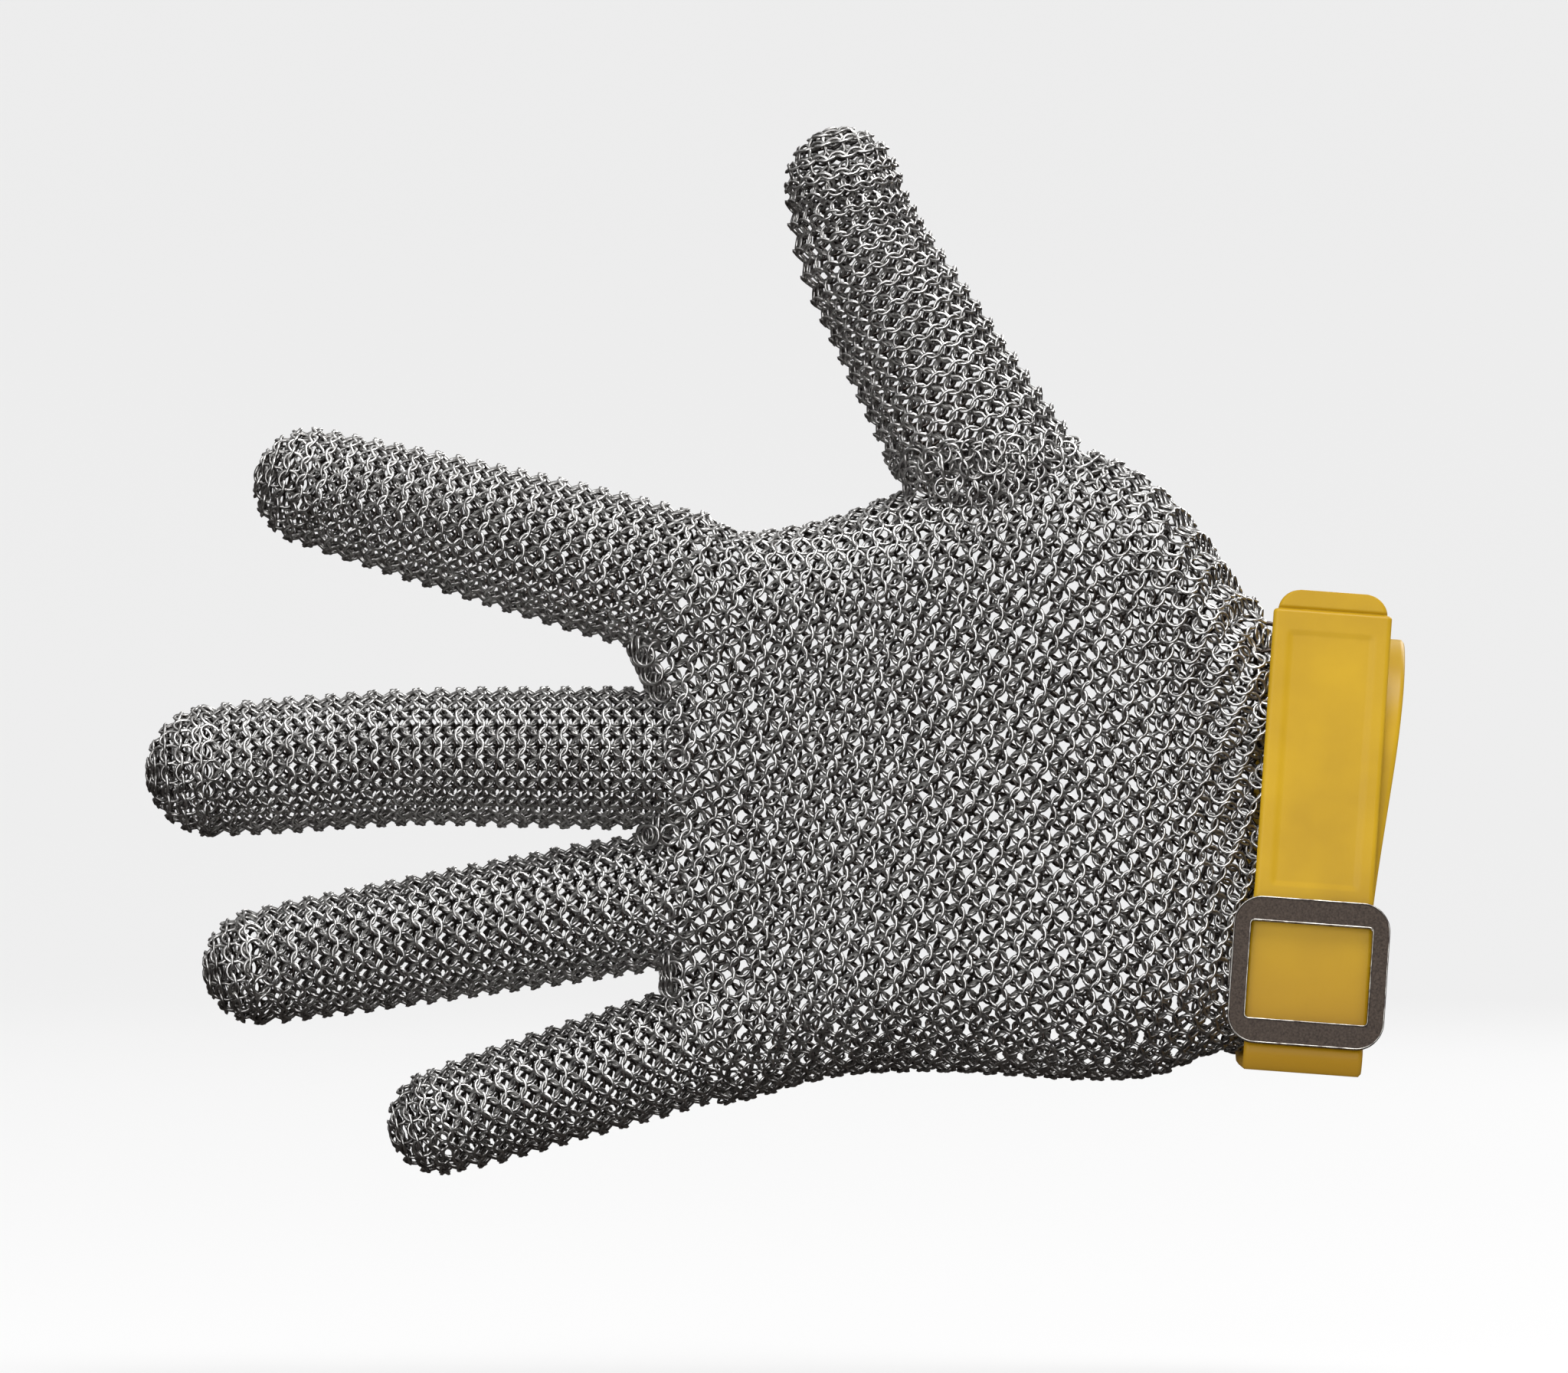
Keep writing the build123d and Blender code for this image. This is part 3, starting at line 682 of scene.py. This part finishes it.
extra_rings = []
for below, above in zip(FINGERS, FINGERS[1:]):
    # Web: rows that run through from the back to the palm between two fingers
    ends = []
    for name, way in ((below, 1), (above, -1)):
        joint, towards, radius = finger_roots[name]
        across = Vector((towards.z, 0, -towards.x))
        start = joint - towards * (DIGIT_START[name] - WEB_AHEAD)
        ends.append(start + across * (radius - SHEET_DEPTH) * way)
    lower, upper = ends
    count = max(2, round((upper - lower).length / WEB_ROW) + 1)
    for i in range(count):
        base = lower.lerp(upper, i / (count - 1))
        for k in range(-6, 7, 2):
            y = (k + i % 2) * HALF_PITCH
            if abs(y) > WEB_HALF:
                continue
            swell = (1 - (y / WEB_ROUND) ** 2) * WEB_SWELL
            point = Vector((min(base.x, HAND_FRONT - 0.5 * MM) - swell, y, base.z))
            outward = Vector((-1, y / WEB_ROUND * 0.8, 0)).normalized()
            extra_rings.append((point, outward, Vector((0, 1, 0)), 1.0 if i % 2 else -1.0))

# Spare rings of the hand's sheet go wherever a finger's rings leave a gap
placed_points = [r[0] for rings in (*hand_rings.values(), *digit_rings.values(), extra_rings) for r in rings]
for ring in spare_rings:
    if ring[0].x > SPARE_END and all((ring[0] - point).length > GAP for point in placed_points):
        extra_rings.append(ring)
        placed_points.append(ring[0])

# A ring hangs open in the web between the index and middle fingers
extra_rings.append((Vector((-130.8, -2, 33.3)) * MM, Vector((0.25, -1, 0.1)).normalized(), UP, 0.0))

# Thumb seam: three bands of rings that lie every way, where two sheets are gathered into each other
seam_rings = []
for face in (BACK, PALM):
    for band in range(SEAM_BANDS):
        for k in range(SEAM_COLUMNS):
            x = seam_middle.x + (k - (SEAM_COLUMNS - 1) / 2 + 0.5 * (band % 2)) * SEAM_PITCH
            z = seam_height(x) + (band - 1) * SEAM_BAND_STEP + random.uniform(-0.3, 0.3) * MM
            hit, normal = thumb_base_surface.ray_cast(Vector((x, 0, z)) + face * OFF_FACE, -face)[:2]
            if hit is None or normal.dot(face) < SEAM_FACING:
                continue
            outward = (normal + Vector([random.uniform(-0.5, 0.5) for _ in range(3)])).normalized()
            seam_rings.append((hit - normal * (SHEET_DEPTH - 0.3 * MM), outward, Vector((1, 0, SEAM_SLOPE)),
                               1.0 if (k + band) % 2 else -1.0))

# ---------------------------------------------------------------- pieces of ring mesh

palm_back = make_rings("palm_back_rings", hand_rings["palm_back_rings"], 11)
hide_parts("palm_mesh")
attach(palm_back, "hand")
palm_front = make_rings("palm_front_rings", hand_rings["palm_front_rings"], 12)
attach(palm_front, "hand")
cuff = make_rings("cuff_rings", hand_rings["cuff_rings"], 13)
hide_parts("cuff_mesh")
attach(cuff, "hand")
crotches = make_rings("crotch_rings", extra_rings, 14)
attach(crotches, "hand")
seam = make_rings("thumb_seam_rings", seam_rings, 15)
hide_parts("thumb_base_mesh")
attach(seam, "hand")

seed = 20
for name, rings in digit_rings.items():
    marks, headings, lengths, distances, bends = digit_marks[name]
    edges = [-1.0] + [distances[i] + lengths[i] / 2 for i in range(len(bends) - 1)] + [1.0]
    for i, bend in enumerate(bends):
        part = [r[:4] for r in rings if edges[i] <= r[4] < edges[i + 1]]
        piece = make_rings(f"{name}_{bend}_rings", part, seed)
        seed += 1
        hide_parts(f"{name}_{bend}_mesh")
        before = BEND_REACH[name] if i == 0 else lengths[i - 1] / 2
        after = lengths[i] / 2
        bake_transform(piece)

# ---------------------------------------------------------------- strap

buckle_at = Vector(joints["buckle_tilt"]["pos_m"])
up_strap = Vector(joints["strap_slide"]["axis"])
out_strap = strap_across.cross(up_strap).normalized()
strap_up = Vector((-strap_across.z, 0, strap_across.x))
lean = math.asin(up_strap.y)
strap_middle = buckle_at.x * strap_across.x + buckle_at.z * strap_across.z
tongue_local = []
for vertex in frame["nodes"]["strap_tongue"].data.vertices:
    offset = vertex.co - buckle_at
    tongue_local.append((offset.dot(strap_across), offset.dot(up_strap), offset.dot(out_strap)))
tongue_low, tongue_high = [[pick(c[i] for c in tongue_local) for i in range(3)] for pick in (min, max)]
tongue_middle = (tongue_low[2] + tongue_high[2]) / 2


def ramp(value, width):
    """From 0 to 1, smoothly, over a width centred on 0."""
    share = min(max(value / width + 0.5, 0), 1)
    return share * share * (3 - 2 * share)


def arc(centre, radius, start, end, steps):
    """Points of an arc in (y, z), angles in degrees."""
    turn = [math.radians(start + (end - start) * i / steps) for i in range(steps + 1)]
    return [(centre[0] + radius * math.cos(a), centre[1] + radius * math.sin(a)) for a in turn]


def strap_shape(name, spine, across, half_width, face_depth):
    """A strip along its spine, each a point and the way out; width and face may change along it."""
    samples = [i / STRIP_SAMPLES for i in range(-STRIP_SAMPLES, STRIP_SAMPLES + 1)]
    verts, faces = [], []
    for i, (point, outward, s) in enumerate(spine):
        half = half_width(s)
        loop = []
        for sign in (1, -1):
            for t in samples if sign > 0 else reversed(samples):
                x = t * half
                past = max(0.0, abs(x) - (half - EDGE_CORNER))
                height = STRAP_THICKNESS / 2 - EDGE_CORNER + math.sqrt(max(EDGE_CORNER ** 2 - past ** 2, 0))
                if sign > 0:
                    height -= face_depth(x, s)
                loop.append(point + across * x + outward * height * sign)
        verts += loop
        size = len(loop)
        if i:
            base = len(verts) - 2 * size
            for k in range(size):
                faces.append((base + k, base + (k + 1) % size, base + size + (k + 1) % size, base + size + k))
    faces.append(tuple(range(size)))
    faces.append(tuple(reversed(range(len(verts) - size, len(verts)))))
    piece = new_mesh_object(name, verts, faces, strap_plastic)
    made = bmesh.new()
    made.from_mesh(piece.data)
    bmesh.ops.remove_doubles(made, verts=made.verts, dist=1e-6)
    bmesh.ops.recalc_face_normals(made, faces=made.faces)
    made.to_mesh(piece.data)
    made.free()
    return piece


# The band's middle line, as (depth, height): from its loop on the buckle's bar up the back of the wrist,
# over the thumb side, down the palm side and back along the lower side to where the free end starts
half = WRIST_STRAIGHT / 2
drop = WRIST_HALF_DEPTH + half
bar_y = buckle_at.y
bar_z = buckle_at.z * strap_up.z + buckle_at.x * strap_up.x
foot = (bar_y - tongue_middle * math.cos(lean), bar_z + tongue_middle * math.sin(lean))
low_end = tongue_low[1]
free_start = (foot[0] + low_end * math.sin(lean), foot[1] + low_end * math.cos(lean))
reach = (drop + free_start[1]) / math.cos(lean)
meet = (free_start[0] - reach * math.sin(lean), -drop)
tangent = STRAP_CORNER / math.tan(math.radians(90 + math.degrees(lean)) / 2)
corner_centre = (meet[0] + tangent, -drop + STRAP_CORNER)
line = arc((bar_y, bar_z), LOOP_RADIUS, LOOP_START, 360, 20)
line += [(-WRIST_HALF_DEPTH, bar_z + (half - bar_z) * i / 40) for i in range(1, 40)]
line += arc((0, half), WRIST_HALF_DEPTH, 180, 0, 60)
line += [(WRIST_HALF_DEPTH, half - 2 * half * i / 30) for i in range(1, 30)]
line += arc((0, -half), WRIST_HALF_DEPTH, 0, -90, 30)
line += [(corner_centre[0] * i / 24, -drop) for i in range(1, 24)]
line += arc(corner_centre, STRAP_CORNER, 270, 180 - math.degrees(lean), 10)
line.append(free_start)
spine = []
for i, (y, z) in enumerate(line):
    before, after = line[max(i - 1, 0)], line[min(i + 1, len(line) - 1)]
    way = Vector((after[0] - before[0], after[1] - before[1])).normalized()
    skew = BAND_SKEW * ramp(z - SKEW_HEIGHT, SKEW_RISE) * ramp(-y + SKEW_DEPTH, SKEW_FADE)
    point = strap_across * (strap_middle + skew) + PALM * y + strap_up * z
    outward = PALM * -way.y + strap_up * way.x
    spine.append((point, outward, 0.0))
band = strap_shape("strap_band_moulded", spine, strap_across, lambda s: STRAP_WIDTH / 2, lambda x, s: 0.0)
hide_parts("strap_band")
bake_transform(band)

top = tongue_high[1]          # the free end's tip, up the strap from the buckle


def rounded_half(half, corner, room):
    """Half width of a strip with rounded corners, at a distance from its end."""
    gap = max(0.0, corner - room)
    return half - corner + math.sqrt(max(corner ** 2 - gap ** 2, 0))


def tongue_half_width(s):
    """Half width of the free end: wider in the buckle's window, narrower at the tab."""
    wide = STRAP_WIDTH / 2 + WINDOW_EXTRA * ramp(WINDOW_TOP - s, WINDOW_FADE)
    if s > top - TAB_LENGTH:
        return rounded_half(wide - TAB_INSET, TAB_CORNER, top - s)
    return rounded_half(wide, END_CORNER, top - TAB_LENGTH - s)


def tongue_face(x, s):
    """Depth of the face below the strap's surface: the tab at the tip and a plain moulded panel."""
    past = s - (top - TAB_LENGTH)
    tab = TAB_STEP * ramp(past, 0.3 * MM) + TAB_GROOVE * math.exp(-(past / TAB_GROOVE_WIDTH) ** 2)
    edge = min(STRAP_WIDTH / 2 - PANEL_MARGIN - abs(x), top - PANEL_END - s, s - (top - PANEL_START))
    return tab + PANEL_DEPTH * ramp(edge, 0.6 * MM)


FINE_START = top - TAB_LENGTH - 1.5 * MM
places = [low_end + (FINE_START - low_end) * i / 150 for i in range(150)]
places += [FINE_START + (top - 0.02 * MM - FINE_START) * i / 50 for i in range(51)]
spine = [(buckle_at + up_strap * s + out_strap * tongue_middle, out_strap, s) for s in places]
tongue = strap_shape("strap_free_end", spine, -strap_across, tongue_half_width, tongue_face)
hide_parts("strap_tongue")
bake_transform(tongue)

# ---------------------------------------------------------------- buckle and link rings

copy = frame["nodes"]["buckle"].data.copy()
copy.name = "buckle_stamped"
copy.materials.clear()
copy.materials.append(buckle_dark)
made = bmesh.new()
made.from_mesh(copy)
bmesh.ops.remove_doubles(made, verts=made.verts, dist=2e-6)
bmesh.ops.dissolve_limit(made, angle_limit=math.radians(2), verts=made.verts, edges=made.edges)
for face in made.faces:
    face.material_index = 0
made.to_mesh(copy)
made.free()
buckle = bpy.data.objects.new("buckle_stamped", copy)
bpy.context.scene.collection.objects.link(buckle)
# A thin bright line lies along every sharp edge, wide enough to show: edge wear and a painted highlight
# together
painted_light, given = new_tree("worn edges with painted highlight", (
    ("Geometry", "Geometry", None), ("Sharpness", "Float", math.radians(40)), ("Width", "Float", 0.16 * MM),
    ("Steel", "Material", None)))
angle = add(painted_light, "GeometryNodeInputMeshEdgeAngle").outputs["Unsigned Angle"]
sharp = add(painted_light, "ShaderNodeMath", {"operation": "GREATER_THAN"}, {0: angle, 1: given["Sharpness"]})
edge_line = add(painted_light, "GeometryNodeMeshToCurve", None, {
    0: given["Geometry"], "Selection": sharp.outputs[0]})
round_wire = add(painted_light, "GeometryNodeCurvePrimitiveCircle", None, {
    "Resolution": 6, "Radius": given["Width"]})
bead = add(painted_light, "GeometryNodeCurveToMesh", None, {
    "Curve": edge_line.outputs[0], "Profile Curve": round_wire.outputs["Curve"], "Fill Caps": True})
bright = add(painted_light, "GeometryNodeSetMaterial", None, {
    "Geometry": bead.outputs[0], "Material": given["Steel"]})
both = add(painted_light, "GeometryNodeJoinGeometry")
painted_light.links.new(given["Geometry"], both.inputs[0])
painted_light.links.new(bright.outputs[0], both.inputs[0])
real = add(painted_light, "GeometryNodeRealizeInstances", None, {0: both.outputs[0]})
add(painted_light, "NodeGroupOutput", None, {"Geometry": real.outputs[0]})
buckle.data = grown_mesh(buckle, painted_light, {"Steel": buckle_edge})
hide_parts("buckle")
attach(buckle, "buckle")

links = frame["nodes"]["strap_link_rings"]
links.data.materials.clear()
links.data.materials.append(ring_steel)

# ---------------------------------------------------------------- stage, light and camera

stage_paint, tree = new_material("pale_stage")
shader = add(tree, "ShaderNodeBsdfPrincipled", None, {
    "Base Color": linear("#707070"), "Roughness": 0.9, "Emission Color": linear("#EDEDED"),
    "Emission Strength": 0.85})
add(tree, "ShaderNodeOutputMaterial", None, {"Surface": shader.outputs[0]})
FLOOR = -0.097
profile = [(0.0, 0.0), (3.0, 0.0), (4.5, 0.05), (5.4, 0.4), (5.9, 1.2), (6.0, 2.5), (6.0, 5.0)]
verts, faces = [], []
for radius, height in profile:
    for k in range(48):
        angle = 2 * math.pi * k / 48
        verts.append((radius * math.cos(angle), radius * math.sin(angle), FLOOR + height))
for level in range(len(profile) - 1):
    for k in range(48):
        after = (k + 1) % 48
        faces.append((level * 48 + k, level * 48 + after, (level + 1) * 48 + after, (level + 1) * 48 + k))
stage = new_mesh_object("stage", verts, faces, stage_paint)
stage.visible_glossy = False

world = bpy.data.worlds.new("studio")
bpy.context.scene.world = world
world.use_nodes = True
tree = world.node_tree
tree.nodes.clear()
sky = add(tree, "ShaderNodeTexCoord").outputs["Generated"]
height = add(tree, "ShaderNodeSeparateXYZ", None, {0: sky}).outputs["Z"]
level = add(tree, "ShaderNodeMapRange", None, {"Value": height, "From Min": -1.0, "From Max": 1.0}).outputs[0]
shade = add(tree, "ShaderNodeValToRGB", None, {"Fac": level})
shade.color_ramp.elements[0].position = 0.6
shade.color_ramp.elements[0].color = linear("#3D3937")
shade.color_ramp.elements[1].position = 1.0
shade.color_ramp.elements[1].color = linear("#FFFFFF")
air = add(tree, "ShaderNodeBackground", None, {"Color": shade.outputs["Color"], "Strength": 0.7})
add(tree, "ShaderNodeOutputWorld", None, {"Surface": air.outputs[0]})

target = Vector((-0.1062, 0.0, 0.0310))
for name, place, size, power in (("key", (0.2, -0.4, 1.2), 0.6, 12), ("front", (-0.7, -2.2, 0.5), 1.7, 25),
                                 ("back", (0.9, 2.0, 1.1), 1.2, 18)):
    lamp = bpy.data.lights.new(name, "AREA")
    lamp.size = size
    lamp.energy = power
    holder = bpy.data.objects.new(name, lamp)
    holder.location = place
    holder.rotation_euler = (target - Vector(place)).to_track_quat("-Z", "Y").to_euler()
    bpy.context.scene.collection.objects.link(holder)

camera = bpy.data.cameras.new("camera")
camera.sensor_width = 36
camera.clip_end = 50
DISTANCE = 2.4
VIEW_WIDTH = 0.2883
camera.lens = 36 * DISTANCE / VIEW_WIDTH
holder = bpy.data.objects.new("camera", camera)
holder.location = target + BACK * DISTANCE
holder.rotation_euler = (math.pi / 2, 0, 0)
bpy.context.scene.collection.objects.link(holder)
bpy.context.scene.camera = holder
bpy.context.scene.view_settings.view_transform = "Standard"
